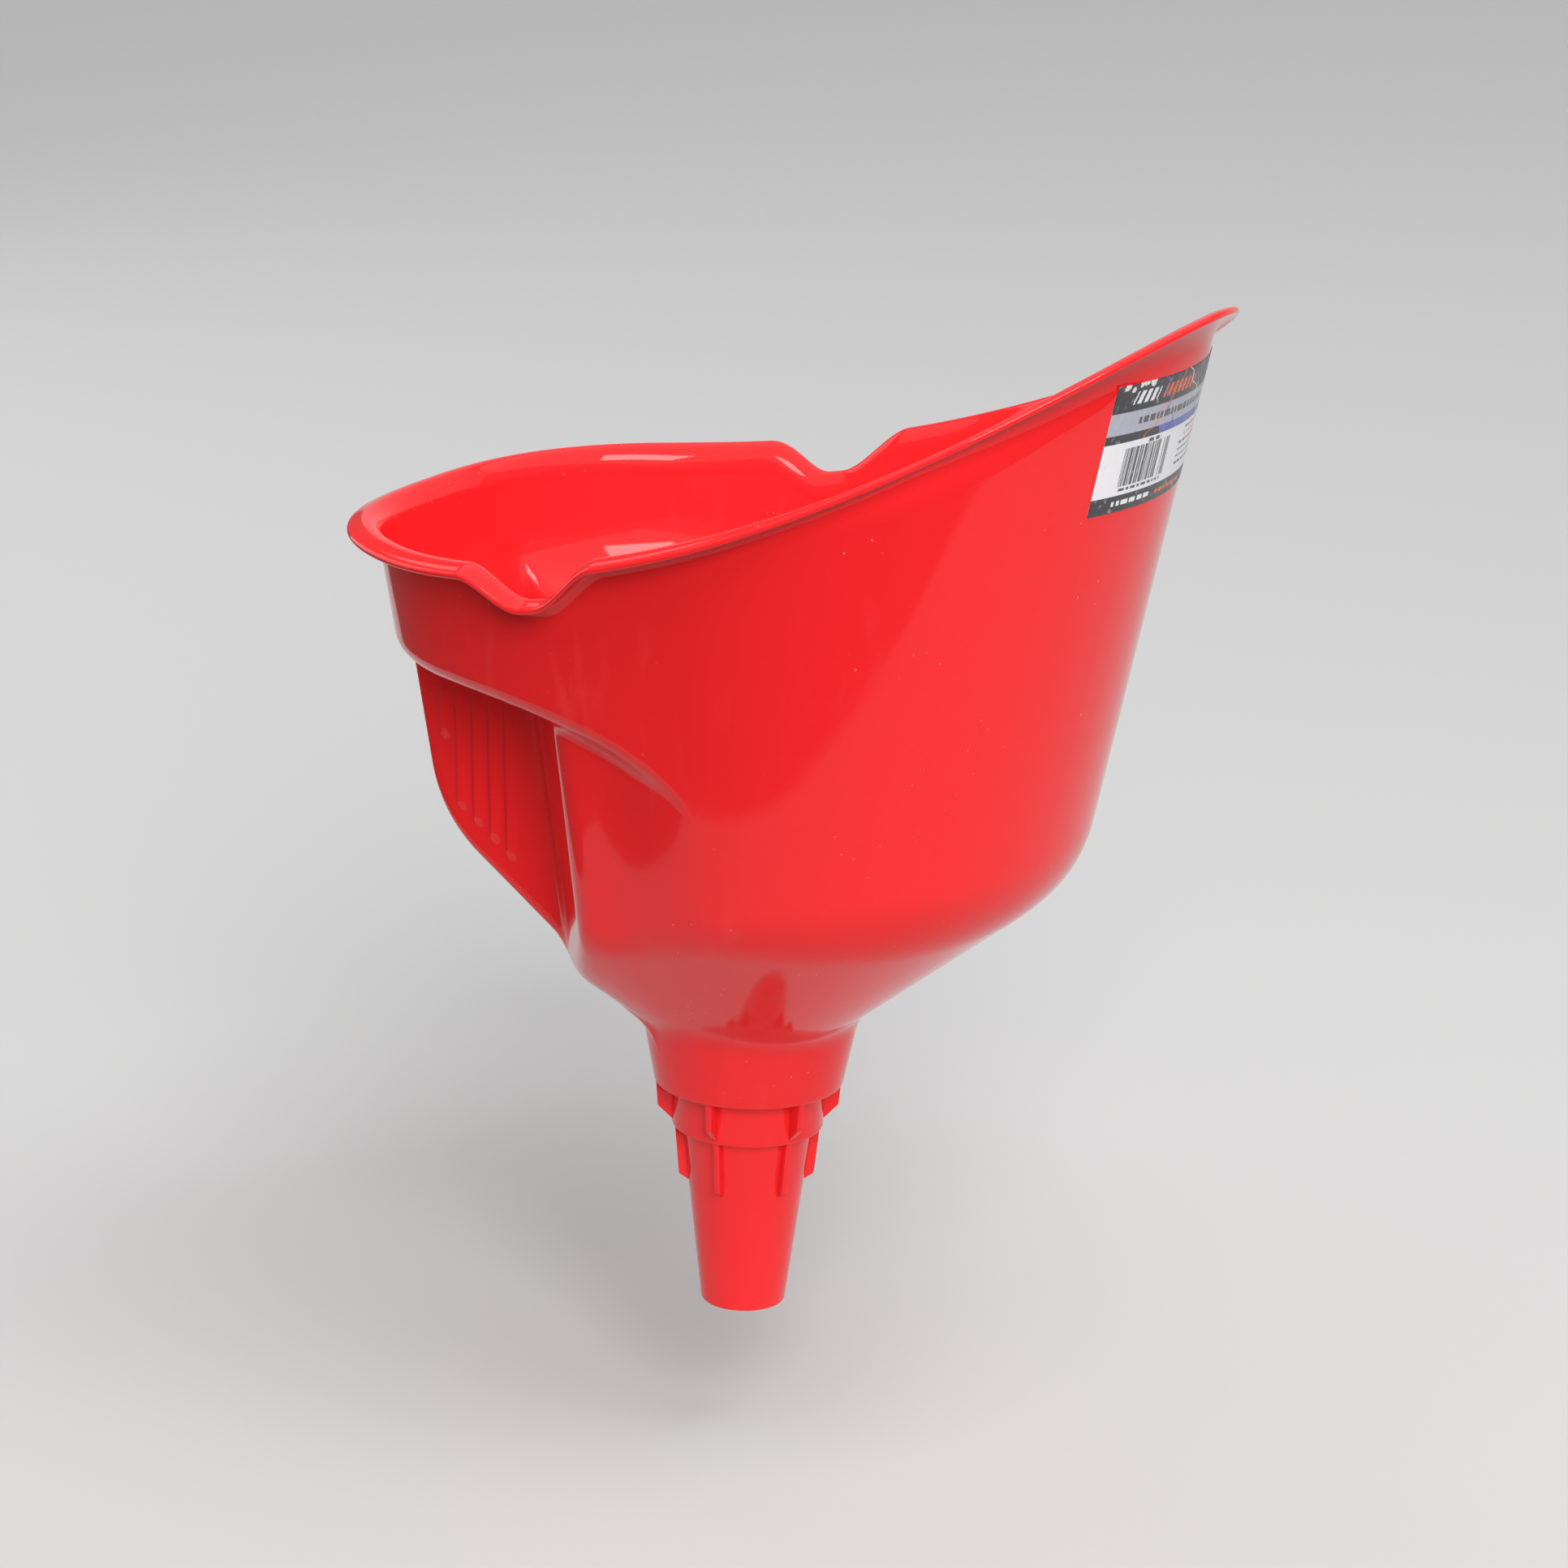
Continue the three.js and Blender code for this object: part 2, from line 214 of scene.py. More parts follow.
def smooth_max(a, b, k):
    return -smooth_min(-a, -b, k)


def smooth_step(t):
    u = np.clip(t, 0, 1)
    return u * u * (3 - 2 * u)


# The shape functions below are distances in mm: below zero inside, above zero outside.


def oval(x, y, front, back, half, powers):
    dx = x - MOUTH_X
    reach = np.where(dx < 0, front, back)
    power = np.where(dx < 0, powers[0], powers[1])
    g = (np.abs(dx) / reach) ** power + (np.abs(y) / half) ** power
    gauge = np.maximum(g ** (1 / power), 1e-6)
    return (gauge - 1) * np.hypot(dx, y) / gauge


def side_wall(x, y, z):
    drop = WALL_Z - z
    walls = (WALL_FRONT, WALL_BACK, WALL_SIDE)
    front, back, half = (reach - draft * drop for reach, draft in walls)
    rounded = oval(x, y, front, back, half, WALL_POWERS)
    bulge = y / PANEL_RADIUS
    panel = (x - (PANEL_X - PANEL_DRAFT * drop - y * bulge / 2)) / np.hypot(1, bulge)
    return smooth_max(rounded, panel, PANEL_BLEND)


def floor_slope(x, y, z):
    r = np.hypot(x, y)
    c = x / np.maximum(r, 1e-6)
    end = np.where(c > 0, FLOOR_SLOPES["back"], FLOOR_SLOPES["front"])
    slope = FLOOR_SLOPES["side"] + (end - FLOOR_SLOPES["side"]) * c * c
    gauge = (np.abs(x) ** FLOOR_POWER + np.abs(y) ** FLOOR_POWER) ** (1 / FLOOR_POWER)
    return ((gauge - FLOOR_R) * slope - (z - FLOOR_Z)) / np.hypot(1, slope)


def floor_round(x, y):
    back = smooth_step(x / np.maximum(np.hypot(x, y), 1e-6))
    return FLOOR_ROUND + (FLOOR_BACK_ROUND - FLOOR_ROUND) * back


def side_inset(x):
    return INSET_DEPTH * (1 - smooth_step((x - INSET_FROM_X) / (INSET_TO_X - INSET_FROM_X)))


def seam_round(x, z):
    low, high = SEAM_FADE
    fade = 1 - smooth_step((z - low) / (high - low))
    return np.clip(side_inset(x) * fade, 0.05, SEAM_ROUND)


def front_slope(x, z, plane):
    rise = (plane["x"] - x) * plane["rise"]
    return (rise - (z - plane["z"])) / math.hypot(1, plane["rise"])


def lower_body(x, y, z, wall):
    face = FINGER_NORMAL[0] * x + FINGER_NORMAL[1] * np.abs(y)
    finger = face - (FINGER_OFFSET - FINGER_DRAFT * (FINGER_Z - z))
    walls = smooth_max(wall + side_inset(x), finger, FINGER_ROUND)
    floor = smooth_max(floor_slope(x, y, z), front_slope(x, z, CHIN_SLOPE), CHIN_ROUND)
    return smooth_max(walls, floor, floor_round(x, y))


def grip_foot_z(x):
    return GRIP_SLOPE["z"] + (GRIP_SLOPE["x"] - x) * GRIP_SLOPE["rise"]


def ridges(x, z):
    """How far the ridges stand out of the grip's side."""
    height = np.zeros(np.broadcast(x, z).shape)
    for i in range(RIDGE_COUNT):
        middle = RIDGE_FIRST_X + i * RIDGE_PITCH
        foot = grip_foot_z(middle) + (RIDGE_FIRST_FOOT if i == 0 else RIDGE_FOOT)
        across = smooth_step((RIDGE_WIDTH / 2 + RIDGE_EDGE / 2 - np.abs(x - middle)) / RIDGE_EDGE)
        along = smooth_step((z - foot) / RIDGE_END) * smooth_step((RIDGE_TOP_Z - z) / RIDGE_END)
        height = height + RIDGE_HEIGHT * across * along
    return height


def grip(x, y, z, ridged):
    half = GRIP_HALF - GRIP_HALF_DRAFT * (GRIP_HALF_Z - z)
    sides = np.abs(y) - half - (ridges(x, z) if ridged else 0)
    front = -x - (GRIP_FRONT - GRIP_FRONT_DRAFT * (GRIP_FRONT_Z - z))
    under = front_slope(x, z, GRIP_SLOPE)
    nose = smooth_max(smooth_max(front, under, GRIP_FRONT_ROUND), sides, GRIP_SIDE_ROUND)
    return np.maximum(nose, x - GRIP_ROOT_X)


def shoulder_z(x):
    u = np.clip((x - SHOULDER_X) / SHOULDER_LENGTH, 0, 0.999)
    return SHOULDER_Z - SHOULDER_DROP * (1 - np.sqrt(1 - u * u))


def upper_bowl(x, z, wall, round_by):
    soffit = shoulder_z(x) - SOFFIT_SLOPE * np.maximum(-wall, 0)
    return smooth_max(wall, (soffit - z) / math.hypot(1, SOFFIT_SLOPE), round_by)


def outer_shape(x, y, z, ridged=False, round_by=SHOULDER_ROUND):
    wall = side_wall(x, y, z)
    low = smooth_min(lower_body(x, y, z, wall), grip(x, y, z, ridged), GRIP_BLEND)
    bowl = smooth_min(low, upper_bowl(x, z, wall, round_by), seam_round(x, z))
    neck = np.hypot(x, y) - (NECK_R + NECK_TAPER * z)
    return smooth_min(bowl, neck, NECK_BLEND)


def inner_shape(x, y, z):
    """The inside of the wall, where the ledge over the shoulder has a larger rounding."""
    return outer_shape(x, y, z, round_by=LEDGE_ROUND) + WALL


def lip_edge(x, y, z):
    return oval(x, y, MOUTH_FRONT, MOUTH_BACK, MOUTH_HALF, MOUTH_POWERS)


def reach_at(angle, z, shape):
    """The radius from the spout's axis at which a shape function reaches zero."""
    near = np.full(np.broadcast(angle, z).shape, 10.0)
    far = np.full(near.shape, 170.0)
    c, s = np.cos(angle), np.sin(angle)
    for _ in range(26):
        mid = (near + far) / 2
        inside = shape(mid * c, mid * s, z) < 0
        near = np.where(inside, mid, near)
        far = np.where(inside, far, mid)
    return (near + far) / 2


def notch_at(x):
    return smooth_step((NOTCH_HALF - np.abs(x - NOTCH_X)) / NOTCH_SIDE)


def rim_z(x):
    sweep = RIM_SWEEP * np.maximum(x - RIM_SWEEP_X, 0) ** 2
    return RIM_Z + sweep - NOTCH_DEPTH * notch_at(x)


def lip_section(angle):
    """The lip at each angle: its points as (radius, height), from the outer wall to the inner."""
    c = np.cos(angle)
    edge = reach_at(angle, np.zeros_like(angle), lip_edge)
    out = edge - NOTCH_INSET * notch_at(edge * c)

    def top_of(r):
        u = np.clip((r - (out - LIP_W)) / LIP_W, 0, 1)
        return rim_z(r * c) + LIP_DROP * (1 - u * u)

    wall_top = top_of(out - LIP_W) - WALL - LIP_FILLET
    wall_r = reach_at(angle, wall_top, outer_shape)
    inner_r = reach_at(angle, wall_top, inner_shape)
    fillet = np.minimum(LIP_FILLET, (out - wall_r) * 0.6)
    half = WALL / 2
    points = []
    turns = np.linspace(0, math.pi / 2, 2 * ARC_STEPS)
    for a in turns:
        r = wall_r + fillet * (1 - math.cos(a))
        points.append((r, wall_top + (top_of(r) - WALL - wall_top) * math.sin(a)))
    flat_from = wall_r + fillet
    for t in (0.35, 0.7):
        r = flat_from + (out - half - flat_from) * t
        points.append((r, top_of(r) - WALL))
    for a in np.linspace(-math.pi / 2, math.pi / 2, 2 * ARC_STEPS):
        r = out - half + half * math.cos(a)
        points.append((r, top_of(out - half) - half + half * math.sin(a)))
    fold_to = inner_r + fillet + WALL
    for t in (0.25, 0.5, 0.75):
        r = out - half + (fold_to - out + half) * t
        points.append((r, top_of(r)))
    for a in reversed(turns):
        r = inner_r + (fillet + WALL) * (1 - math.cos(a))
        points.append((r, wall_top + (top_of(r) - wall_top) * math.sin(a)))
    return points, wall_top


def rounded_path(corners):
    """A line of (radius, height) through corners, each given with the size of its rounding."""
    points = []
    for i, (r, z, size) in enumerate(corners):
        if not size:
            points.append((r, z))
            continue
        here = np.array((r, z))
        before = np.array(corners[i - 1][:2]) - here
        after = np.array(corners[i + 1][:2]) - here
        start = here + before / np.linalg.norm(before) * size
        end = here + after / np.linalg.norm(after) * size
        for t in np.linspace(0, 1, ARC_STEPS):
            points.append(tuple(start * (1 - t) ** 2 + here * 2 * t * (1 - t) + end * t * t))
    return points


def levels(shoulder, top, steps):
    """Heights from the neck to the top of the wall, closer together round the shoulder."""
    stops = (NECK_TOP_Z, shoulder - SHOULDER_BELOW, shoulder + SHOULDER_ABOVE, top)
    heights = []
    for low, high, count in zip(stops, stops[1:], steps):
        heights += [low + (high - low) * i / count for i in range(count)]
    return [z + np.zeros_like(top) for z in heights]


def column_angles():
    half = [a + (b - a) * i / n for a, b, n in SECTORS for i in range(n)]
    mirrored = [360 - a for a in half[1:]][::-1]
    return np.radians(half + [180] + mirrored)


def ring_faces(columns, rows):
    """Quads over a surface that closes on itself in both directions."""
    i, k = np.meshgrid(np.arange(columns), np.arange(rows), indexing="ij")
    j, m = (i + 1) % columns, (k + 1) % rows
    quads = (i * rows + k, j * rows + k, j * rows + m, i * rows + m)
    return np.stack(quads, -1).reshape(-1, 4)


def body_shell():
    angle = column_angles()
    c, s = np.cos(angle), np.sin(angle)
    lip, top = lip_section(angle)
    shoulder = shoulder_z(reach_at(angle, SHOULDER_Z + 0 * angle, side_wall) * c)
    neck_r = NECK_R + NECK_TAPER * NECK_TOP_Z
    below = rounded_path([
        (TIP_R - WALL, TIP_Z, 0),
        (TIP_R, TIP_Z, TIP_ROUND),
        (SPOUT_TOP_R, COLLAR_Z, STEP_FILLET),
        (COLLAR_R, COLLAR_Z, STEP_ROUND),
        (COLLAR_R, 0, STEP_FILLET),
        (NECK_R, 0, STEP_ROUND),
        (neck_r, NECK_TOP_Z, 0),
    ])[1:-1]
    bore = rounded_path([
        (neck_r - WALL, NECK_TOP_Z, 0),
        (NECK_R - WALL, WALL, STEP_FILLET / 2),
        (COLLAR_R - WALL, WALL, STEP_ROUND),
        (COLLAR_R - WALL, COLLAR_Z + WALL, STEP_FILLET),
        (SPOUT_TOP_R - WALL, COLLAR_Z + WALL, STEP_ROUND),
        (TIP_R - WALL, TIP_Z, 0),
    ])[1:]
    outside = np.stack(levels(shoulder, top, OUTSIDE_STEPS))
    inside = np.stack(levels(shoulder, top, INSIDE_STEPS))[::-1]
    turn = angle[None, :]
    outside_r = reach_at(turn, outside, lambda x, y, z: outer_shape(x, y, z, True))
    inside_r = reach_at(turn, inside, inner_shape)
    around = np.ones_like(angle)
    section = [(r * around, z * around) for r, z in below]
    section += list(zip(outside_r, outside)) + lip + list(zip(inside_r, inside))
    section += [(r * around, z * around) for r, z in bore]
    r = np.stack([p[0] for p in section], 1)
    z = np.stack([p[1] for p in section], 1)
    points = np.stack((r * c[:, None], r * s[:, None], z), -1)
    return points.reshape(-1, 3), ring_faces(len(angle), len(section))


def spout_r(z):
    return TIP_R + (SPOUT_TOP_R - TIP_R) * (z - TIP_Z) / (COLLAR_Z - TIP_Z)


def rounded_plate(outline):
    """A plate in the XZ plane with rounded edges, from its outline of (radius, height)."""
    bm = bmesh.new()
    face = bm.faces.new([bm.verts.new((r, -RIB_T / 2, z)) for r, z in outline])
    moved = bmesh.ops.extrude_face_region(bm, geom=[face])["geom"]
    verts = [g for g in moved if isinstance(g, bmesh.types.BMVert)]
    bmesh.ops.translate(bm, verts=verts, vec=(0, RIB_T, 0))
    bmesh.ops.recalc_face_normals(bm, faces=bm.faces)
    bmesh.ops.bevel(bm, geom=bm.edges[:], offset=RIB_ROUND, segments=3, affect="EDGES", profile=0.5)
    bm.verts.index_update()
    points = np.array([v.co for v in bm.verts])
    faces = [[v.index for v in f.verts] for f in bm.faces]
    bm.free()
    return points, faces


def turned(points, angle):
    c, s = math.cos(angle), math.sin(angle)
    return points @ np.array([[c, s, 0], [-s, c, 0], [0, 0, 1]])


def stop_ribs():
    """Both sets of ribs, as one list of (points, faces)."""
    upper_root = COLLAR_R - RIB_ROOT
    upper = rounded_plate([
        (upper_root, RIB_ROOT),
        (UPPER_RIB["outer"], RIB_ROOT),
        (UPPER_RIB["foot"], UPPER_RIB["foot_z"]),
        (COLLAR_R, UPPER_RIB["end_z"]),
        (upper_root, UPPER_RIB["end_z"]),
    ])
    lower_end = spout_r(LOWER_RIB["end_z"])
    lower = rounded_plate([
        (SPOUT_TOP_R - RIB_ROOT, COLLAR_Z + RIB_ROOT),
        (LOWER_RIB["outer"], COLLAR_Z + RIB_ROOT),
        (LOWER_RIB["foot"], LOWER_RIB["foot_z"]),
        (lower_end, LOWER_RIB["end_z"]),
        (lower_end - RIB_ROOT, LOWER_RIB["end_z"]),
    ])
    turns = [(i + 0.5) * 2 * math.pi / RIB_COUNT for i in range(RIB_COUNT)]
    return [(turned(points, turn), faces) for points, faces in (upper, lower) for turn in turns]


def joined(pieces):
    """Several (points, faces) as one."""
    points, faces, start = [], [], 0
    for piece_points, piece_faces in pieces:
        points.append(piece_points)
        faces += [[start + i for i in face] for face in piece_faces]
        start += len(piece_points)
    return np.concatenate(points), faces


def mesh_object(name, points, faces, material):
    mesh = bpy.data.meshes.new(name)
    mesh.from_pydata((points * MM).tolist(), [], faces)
    mesh.shade_smooth()
    mesh.materials.append(material)
    made = bpy.data.objects.new(name, mesh)
    bpy.context.scene.collection.objects.link(made)
    return made


def wall_x(y, z):
    """Where the outer face of the high back is, straight behind a point."""
    near, far = np.zeros_like(y), np.full_like(y, 170.0)
    for _ in range(26):
        mid = (near + far) / 2
        inside = outer_shape(mid, y, z) < 0
        near, far = np.where(inside, mid, near), np.where(inside, far, mid)
    return (near + far) / 2


# The label's print, with u from its left edge to its right and v from its top to its bottom

PAPER = (0.80, 0.79, 0.81)
DARK = (0.045, 0.045, 0.05)
SILVER = (0.42, 0.43, 0.50)
BLUE = (0.12, 0.13, 0.42)
ORANGE = (0.75, 0.12, 0.03)
INK = (0.10, 0.10, 0.11)
RED_INK = (0.60, 0.05, 0.05)

HEADER_V = 0.215
SILVER_V = 0.385
STRIPE_V = 0.455
FOOTER_V = 0.865
BARCODE = {"u": (0.13, 0.47), "v": (0.50, 0.80), "modules": 95}


def text_like(u, v, line_v, u_range, height, rng):
    """Short dashes in a row, which stand for a line of small print."""
    mask = np.zeros_like(u, bool)
    at = u_range[0]
    while at < u_range[1]:
        dash = rng.uniform(0.015, 0.05)
        mask |= (u > at) & (u < min(at + dash, u_range[1])) & (np.abs(v - line_v) < height / 2)
        at += dash + 0.012
    return mask


def label_print(u, v):
    """The colour of every cell of the label."""
    rng = np.random.default_rng(11)
    colour = np.empty(u.shape + (3,))
    colour[:] = PAPER

    def paint(mask, ink):
        colour[mask] = ink

    paint(v < STRIPE_V, DARK)
    paint((v > HEADER_V) & (v < SILVER_V), SILVER)
    paint((v > SILVER_V) & (v < STRIPE_V) & (u > 0.33 + 0.3 * (v - SILVER_V)), BLUE)
    paint(v > FOOTER_V, DARK)
    slant = u + 0.22 * v
    for start, width, ink in ((0.14, 0.16, PAPER), (0.34, 0.30, ORANGE)):
        bar = (slant > start) & (slant < start + width) & (np.abs(v - 0.115) < 0.045)
        paint(bar & (np.sin(slant * 150) > -0.35), ink)
    for start, bend, ink in ((0.30, 0.35, BLUE), (0.47, -0.5, ORANGE), (0.52, 0.7, PAPER)):
        streak = np.abs(u - start - bend * v - 0.02 * np.sin(v * 40)) < 0.004
        paint(streak & (v < STRIPE_V), ink)
    paint(text_like(u, v, 0.30, (0.17, 0.80), 0.055, rng), INK)
    paint(text_like(u, v, 0.482, (0.28, 0.38), 0.024, rng), INK)
    module = (u - BARCODE["u"][0]) / (BARCODE["u"][1] - BARCODE["u"][0]) * BARCODE["modules"]
    bars = rng.random(BARCODE["modules"]) < 0.5
    bars[[0, 2, 46, 48, 92, 94]] = True
    bars[[1, 47, 93]] = False
    inside = (module >= 0) & (module < BARCODE["modules"])
    inside &= (v > BARCODE["v"][0]) & (v < BARCODE["v"][1])
    paint(inside & bars[np.clip(module.astype(int), 0, BARCODE["modules"] - 1)], INK)
    paint(text_like(u, v, 0.825, (0.14, 0.45), 0.022, rng), INK)
    for line in range(6):
        ink = RED_INK if line == 1 else INK
        left = 0.60 + 0.05 * (line < 2)
        paint(text_like(u, v, 0.50 + 0.055 * line, (left, 0.94), 0.018, rng), ink)
    paint(text_like(u, v, 0.93, (0.12, 0.40), 0.035, rng), PAPER)
    paint(text_like(u, v, 0.93, (0.44, 0.75), 0.03, rng), ORANGE)
    for _ in range(16):
        at_u, at_v = rng.uniform(0.03, 0.26), abs(rng.normal(0, 0.02))
        size = rng.uniform(0.004, 0.014)
        paint(np.hypot(u - at_u, (v - at_v) / 2) < size, PAPER)
    return colour


def film_faces(columns, rows):
    """Quads of a thin closed sheet: its front cell by cell, then its back and its edge."""
    point = np.arange((columns + 1) * (rows + 1)).reshape(rows + 1, columns + 1)
    corners = (point[:-1, :-1], point[1:, :-1], point[1:, 1:], point[:-1, 1:])
    front = np.stack(corners, -1).reshape(-1, 4)
    back = front[:, ::-1] + point.size
    sides = (point[:-1, 0], point[-1, :-1], point[:0:-1, -1], point[0, :0:-1])
    border = np.concatenate(sides)
    after = np.roll(border, -1)
    edge = np.stack((after, border, border + point.size, after + point.size), -1)
    return front, np.concatenate((back, edge))


def label_sheet(material):
    """The film on the high back, with its print as one colour for each cell."""
    width, height = LABEL_HIGH[1] - LABEL_LOW[1], LABEL_HIGH[2] - LABEL_LOW[2]
    columns, rows = round(width / LABEL_CELL), round(height / LABEL_CELL)
    j, i = np.meshgrid(np.linspace(0, 1, columns + 1), np.linspace(0, 1, rows + 1))
    y = LABEL_LOW[1] + width * j
    z = LABEL_HIGH[2] - height * i
    to_edge = np.minimum(width * np.minimum(j, 1 - j), height * np.minimum(i, 1 - i))
    thick = LABEL_T * np.clip(to_edge / LABEL_CELL, 0, 1)
    lift = LABEL_LIFT * np.exp(-(((j - 0.06) / 0.12) ** 2 + (i / 0.05) ** 2))
    x = wall_x(y, z) + lift
    front = np.stack((x + LABEL_GAP + thick, y, z), -1).reshape(-1, 3)
    back = np.stack((x + LABEL_GAP / 2, y, z), -1).reshape(-1, 3)
    printed, plain = film_faces(columns, rows)
    faces = printed.tolist() + plain.tolist()
    made = mesh_object("label_film", np.concatenate((front, back)), faces, material)
    b, a = np.divmod(np.arange(columns * rows), columns)
    colours = np.ones((len(faces), 4))
    colours[:, :3] = PAPER
    colours[:len(printed), :3] = label_print((a + 0.5) / columns, (b + 0.5) / rows)
    ink = made.data.color_attributes.new("print", "FLOAT_COLOR", "CORNER")
    ink.data.foreach_set("color", np.repeat(colours, 4, 0).ravel())
    return made


class Nodes:
    """A material's node tree, with short ways to add nodes to it."""

    def __init__(self, name):
        self.material = bpy.data.materials.new(name)
        self.material.use_nodes = True
        self.tree = self.material.node_tree
        self.shader = self.tree.nodes["Principled BSDF"]
        self.place = self.tree.nodes.new("ShaderNodeTexCoord").outputs["Object"]

    def link(self, source, target):
        self.tree.links.new(source, target)

    def scaled(self, scale):
        node = self.tree.nodes.new("ShaderNodeMapping")
        node.inputs["Scale"].default_value = scale
        self.link(self.place, node.inputs["Vector"])
        return node.outputs["Vector"]

    def noise(self, scale, detail=2.0, vector=None):
        node = self.tree.nodes.new("ShaderNodeTexNoise")
        node.inputs["Scale"].default_value = scale
        node.inputs["Detail"].default_value = detail
        self.link(vector or self.place, node.inputs["Vector"])
        return node.outputs["Fac"]

    def specks(self, scale, vector=None):
        node = self.tree.nodes.new("ShaderNodeTexVoronoi")
        node.inputs["Scale"].default_value = scale
        self.link(vector or self.place, node.inputs["Vector"])
        return node.outputs["Distance"]

    def ramp(self, source, low, high, to=(0.0, 1.0)):
        node = self.tree.nodes.new("ShaderNodeMapRange")
        node.inputs["From Min"].default_value = low
        node.inputs["From Max"].default_value = high
        node.inputs["To Min"].default_value = to[0]
        node.inputs["To Max"].default_value = to[1]
        self.link(source, node.inputs["Value"])
        return node.outputs["Result"]

    def maths(self, operation, a, b):
        node = self.tree.nodes.new("ShaderNodeMath")
        node.operation = operation
        for socket, value in zip(node.inputs, (a, b)):
            if isinstance(value, (int, float)):
                socket.default_value = value
            else:
                self.link(value, socket)
        return node.outputs[0]

    def mix(self, factor, a, b):
        node = self.tree.nodes.new("ShaderNodeMix")
        node.data_type = "RGBA"
        self.link(factor, node.inputs["Factor"])
        for socket, value in ((node.inputs[6], a), (node.inputs[7], b)):
            if isinstance(value, tuple):
                socket.default_value = (*value, 1)
            else:
                self.link(value, socket)
        return node.outputs[2]

    def bump(self, height, depth, below=None):
        node = self.tree.nodes.new("ShaderNodeBump")
        node.inputs["Distance"].default_value = depth
        self.link(height, node.inputs["Height"])
        if below:
            self.link(below, node.inputs["Normal"])
        return node.outputs["Normal"]


def red_plastic():
    """Glossy moulded polyethylene, with flow marks, scuffs and specks of dust."""
    n = Nodes("red_plastic")
    flow = n.noise(9, 3, n.scaled((1, 1, 0.5)))
    colour = n.mix(flow, RED_DEEP, RED)
    streaks = n.noise(160, 4, n.scaled((1, 1, 0.12)))
    patches = n.ramp(n.noise(14, 3), 0.52, 0.72)
    scuffs = n.maths("MULTIPLY", n.ramp(streaks, 0.56, 0.70), patches)
    colour = n.mix(n.maths("MULTIPLY", scuffs, 0.10), colour, RED_WORN)
    dust = n.maths("MULTIPLY", n.ramp(n.specks(260), 0.11, 0.05), n.ramp(n.noise(45), 0.56, 0.62))
    colour = n.mix(n.maths("MULTIPLY", dust, 0.3), colour, RED_DUST)
    n.link(colour, n.shader.inputs["Base Color"])
    worn = n.maths("ADD", n.maths("MULTIPLY", scuffs, 0.22), n.maths("MULTIPLY", dust, 0.3))
    haze = n.ramp(n.noise(30, 4), 0.3, 0.7, (GLOSS, GLOSS + 0.03))
    n.link(n.maths("ADD", haze, worn), n.shader.inputs["Roughness"])
    skin = n.bump(n.noise(70, 2), 0.00004)
    n.link(n.bump(scuffs, 0.00003, skin), n.shader.inputs["Normal"])
    n.shader.inputs["Specular IOR Level"].default_value = SHEEN
    return n.material


def printed_film():
    """Satin film whose colour is its print, a little rubbed."""
    n = Nodes("printed_film")
    ink = n.tree.nodes.new("ShaderNodeVertexColor")
    ink.layer_name = "print"
    rubbed = n.ramp(n.noise(420, 5), 0.60, 0.75, (0.0, 0.35))
    n.link(n.mix(rubbed, ink.outputs["Color"], PAPER), n.shader.inputs["Base Color"])
    n.link(n.ramp(n.noise(120, 3), 0.3, 0.7, (0.24, 0.36)), n.shader.inputs["Roughness"])
    n.link(n.bump(n.noise(90, 2), 0.00005), n.shader.inputs["Normal"])
    return n.material


def plain_paper():
    n = Nodes("paper")
    n.shader.inputs["Base Color"].default_value = (*STAGE_COLOUR, 1)
    n.shader.inputs["Roughness"].default_value = 0.9
    n.shader.inputs["Specular IOR Level"].default_value = 0.1
    return n.material


# Stage, in metres

STAGE_Z = cad_box[0].z - 0.05
STAGE_COLOUR = (0.56, 0.56, 0.56)
STAGE_EDGE = {"x": 0.06, "y": 0.50, "radius": 0.883, "turns": (252, 350), "steps": 64}
BACKDROP = {"x": (-4.9, 6.0), "y": 6.5, "height": 5.0}


def stage_floor():
    """A pale floor with a rounded front edge, out of view, and a backdrop far behind."""
    points = []
    for t in np.linspace(0, 1, STAGE_EDGE["steps"] + 1):
        low, high = STAGE_EDGE["turns"]
        turn = math.radians(low + (high - low) * t)
        near_x = STAGE_EDGE["x"] + STAGE_EDGE["radius"] * math.cos(turn)
        near_y = STAGE_EDGE["y"] + STAGE_EDGE["radius"] * math.sin(turn)
        far_x = BACKDROP["x"][0] * (1 - t) + BACKDROP["x"][1] * t
        points.append((near_x, near_y, STAGE_Z))
        points.append((far_x, BACKDROP["y"], STAGE_Z))
        points.append((far_x, BACKDROP["y"], BACKDROP["height"]))
    faces = []
    for i in range(0, 3 * STAGE_EDGE["steps"], 3):
        faces += [(i, i + 3, i + 4, i + 1), (i + 1, i + 4, i + 5, i + 2)]
    floor = mesh_object("floor", np.array(points) / MM, faces, plain_paper())


def aimed(made, place, target):
    made.location = place
    made.rotation_euler = (Vector(target) - Vector(place)).to_track_quat("-Z", "Y").to_euler()


def softbox(name, place, target, size, power):
    light = bpy.data.lights.new(name, "AREA")
    light.shape = "RECTANGLE"
    light.size, light.size_y = size
    light.energy = power
    made = bpy.data.objects.new(name, light)
    bpy.context.scene.collection.objects.link(made)
    aimed(made, place, target)


def wide_sun(name, place, angle, strength):
    light = bpy.data.lights.new(name, "SUN")
    light.angle = math.radians(angle)
    light.energy = strength
    made = bpy.data.objects.new(name, light)
    made.visible_glossy = False
    bpy.context.scene.collection.objects.link(made)
    aimed(made, place, (0, 0, 0))


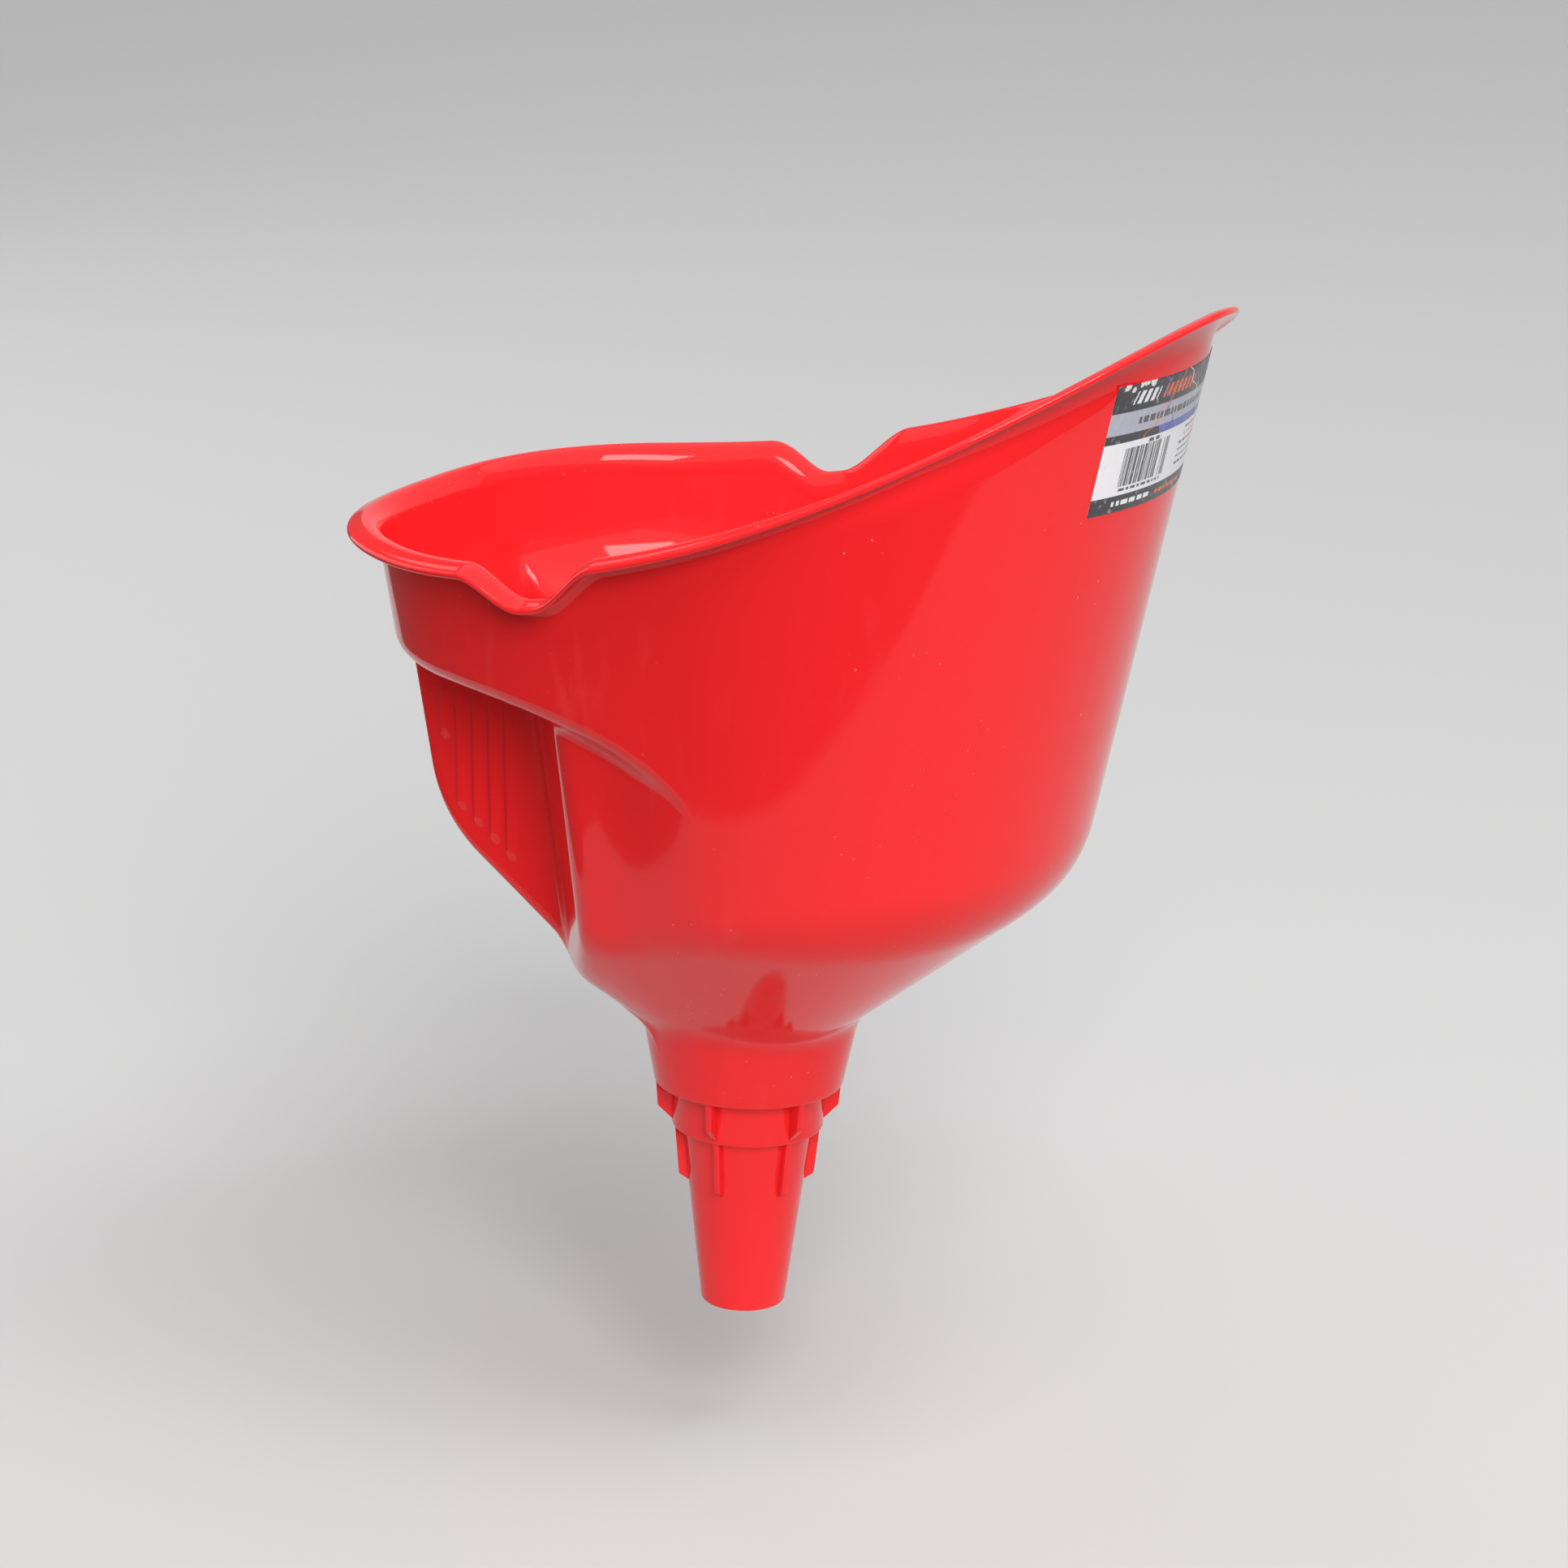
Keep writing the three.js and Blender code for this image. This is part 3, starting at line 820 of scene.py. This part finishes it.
def lights():
    middle = (cad_box[0] + cad_box[1]) / 2
    wide_sun("key", (0.495, -0.72, 0.485), 30, 2.35)
    softbox("sky", (0.3, 0.0, 2.2), middle, (5.0, 5.0), 52.0)
    softbox("left", (-1.9, 0.3, 0.75), middle, (1.8, 1.6), 10.0)
    softbox("top", (0.6, -0.4, 1.25), middle, (0.7, 0.5), 10.0)
    world = bpy.data.worlds.new("studio")
    bpy.context.scene.world = world
    world.use_nodes = True
    background = world.node_tree.nodes["Background"]
    background.inputs["Color"].default_value = (1.0, 1.0, 1.0, 1.0)
    background.inputs["Strength"].default_value = 0.14


# Camera: where the photographer stood, with the picture turned a little clockwise

CAMERA_PLACE = Vector((0.51209, -1.08946, 0.44078))
CAMERA_AZIMUTH = math.radians(24.8)
CAMERA_PITCH = math.radians(16.2)
CAMERA_ROLL = math.radians(1.68)
CAMERA_LENS = 98.76


def camera():
    right = Vector((math.cos(CAMERA_AZIMUTH), math.sin(CAMERA_AZIMUTH), 0))
    level = Vector((-math.sin(CAMERA_AZIMUTH), math.cos(CAMERA_AZIMUTH), 0))
    ahead = level * math.cos(CAMERA_PITCH) - Vector((0, 0, math.sin(CAMERA_PITCH)))
    up = right.cross(ahead)
    turned_right = right * math.cos(CAMERA_ROLL) + up * math.sin(CAMERA_ROLL)
    turned_up = up * math.cos(CAMERA_ROLL) - right * math.sin(CAMERA_ROLL)
    data = bpy.data.cameras.new("camera")
    data.sensor_width = 36.0
    data.lens = CAMERA_LENS
    made = bpy.data.objects.new("camera", data)
    turn = Matrix((turned_right, turned_up, -ahead)).transposed()
    made.matrix_world = Matrix.Translation(CAMERA_PLACE) @ turn.to_4x4()
    bpy.context.scene.collection.objects.link(made)
    bpy.context.scene.camera = made


def funnel():
    shell = body_shell()
    body = mesh_object("funnel_moulding", *joined([shell, *stop_ribs()]), red_plastic())
    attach(body, "root")
    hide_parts("funnel_body")
    film = label_sheet(printed_film())
    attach(film, "root")
    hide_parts("label")


bpy.context.scene.view_settings.view_transform = "Standard"
camera()
funnel()
stage_floor()
lights()
